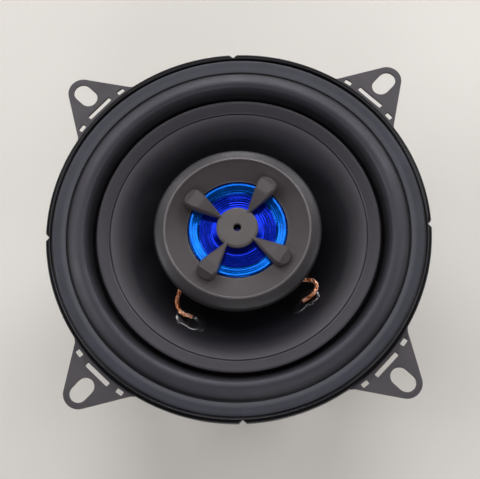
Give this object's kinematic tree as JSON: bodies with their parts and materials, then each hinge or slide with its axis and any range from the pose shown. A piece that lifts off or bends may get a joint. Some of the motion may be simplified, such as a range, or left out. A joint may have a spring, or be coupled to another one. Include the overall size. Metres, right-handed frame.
{
  "type": "coaxial car speaker",
  "caption": "Two-way coaxial car speaker: round pressed basket with slotted ears, rubber half-roll surround, black cone and a bridged blue tweeter on a centre post.",
  "frame": {"origin": "centre of the mounting plane, which is the rear face of the flange and ears", "axes": "+Z out of the cone towards the listener; +X and +Y run through the centres of two neighbouring ears, and the terminal board is midway between +X and -Y"},
  "size_m": [0.1264, 0.1264, 0.0509],
  "materials": {
    "basket_paint": "satin black powder coat on pressed steel",
    "rivet_steel": "zinc plated",
    "gasket_rubber": "matte, slightly textured",
    "surround_rubber": "matte with a soft sheen",
    "cone_plastic": "semi-gloss black",
    "spider_cloth": "resin-treated corrugated cloth",
    "coil_former": "amber film",
    "copper_winding": "lacquered copper wire",
    "eyelet_brass": "bright",
    "lead_adhesive": "glossy black adhesive",
    "plated_steel": "zinc plated, satin",
    "ferrite": "ground ferrite",
    "copper_braid": "braided copper tinsel",
    "phenolic_board": "phenolic fibre board",
    "tinned_tab": "tinned",
    "post_plastic": "moulded black",
    "fastener_steel": "bright zinc",
    "housing_plastic": "moulded warm dark grey, fine texture",
    "face_plastic": "moulded warm dark grey, fine texture",
    "blue_film": "metallised blue film, glossy",
    "neodymium": "nickel plated",
    "capacitor_sleeve": "shrink sleeve",
    "wire_red": "insulated wire"
  },
  "bodies": {
    "chassis": {"basket": "basket_paint", "basket_rivets": "rivet_steel", "front_gasket": "gasket_rubber", "surround": "surround_rubber", "spider": "spider_cloth", "front_plate": "plated_steel", "magnet_ring": "ferrite", "yoke": "plated_steel", "front_lead_left": "copper_braid", "front_lead_right": "copper_braid", "rear_lead_left": "copper_braid", "rear_lead_right": "copper_braid", "terminal_board": "phenolic_board", "terminal_positive": "tinned_tab", "terminal_negative": "tinned_tab", "terminal_eyelets": "eyelet_brass", "board_rivet": "rivet_steel", "tweeter_post": "post_plastic", "tweeter_bolt": "fastener_steel", "bolt_washer": "fastener_steel", "bolt_nut": "fastener_steel", "tweeter_housing": "housing_plastic", "tweeter_face": "face_plastic", "tweeter_frame": "post_plastic", "tweeter_diaphragm": "blue_film", "tweeter_yoke": "plated_steel", "tweeter_magnet": "neodymium", "tweeter_pole_plate": "plated_steel", "tweeter_tags": "tinned_tab", "crossover_capacitor": "capacitor_sleeve", "tweeter_wires": "wire_red"},
    "cone_assembly": {"cone": "cone_plastic", "voice_coil_former": "coil_former", "voice_coil_winding": "copper_winding", "lead_eyelets": "eyelet_brass", "lead_glue": "lead_adhesive"},
    "tweeter_coil": {"tweeter_coil_former": "coil_former", "tweeter_coil_winding": "copper_winding"}
  },
  "joints": [
    {"name": "cone_stroke", "type": "slide", "parent": "chassis", "child": "cone_assembly", "axis": [0, 0, 1], "range_m": [-0.003, 0.003], "stiffness_N_per_m": 1500, "deforming": ["surround", "spider", "front_lead_left", "front_lead_right", "rear_lead_left", "rear_lead_right"]},
    {"name": "tweeter_stroke", "type": "slide", "parent": "chassis", "child": "tweeter_coil", "axis": [0, 0, 1], "range_m": [-0.0002, 0.0002], "stiffness_N_per_m": 200, "deforming": ["tweeter_diaphragm"]}
  ]
}
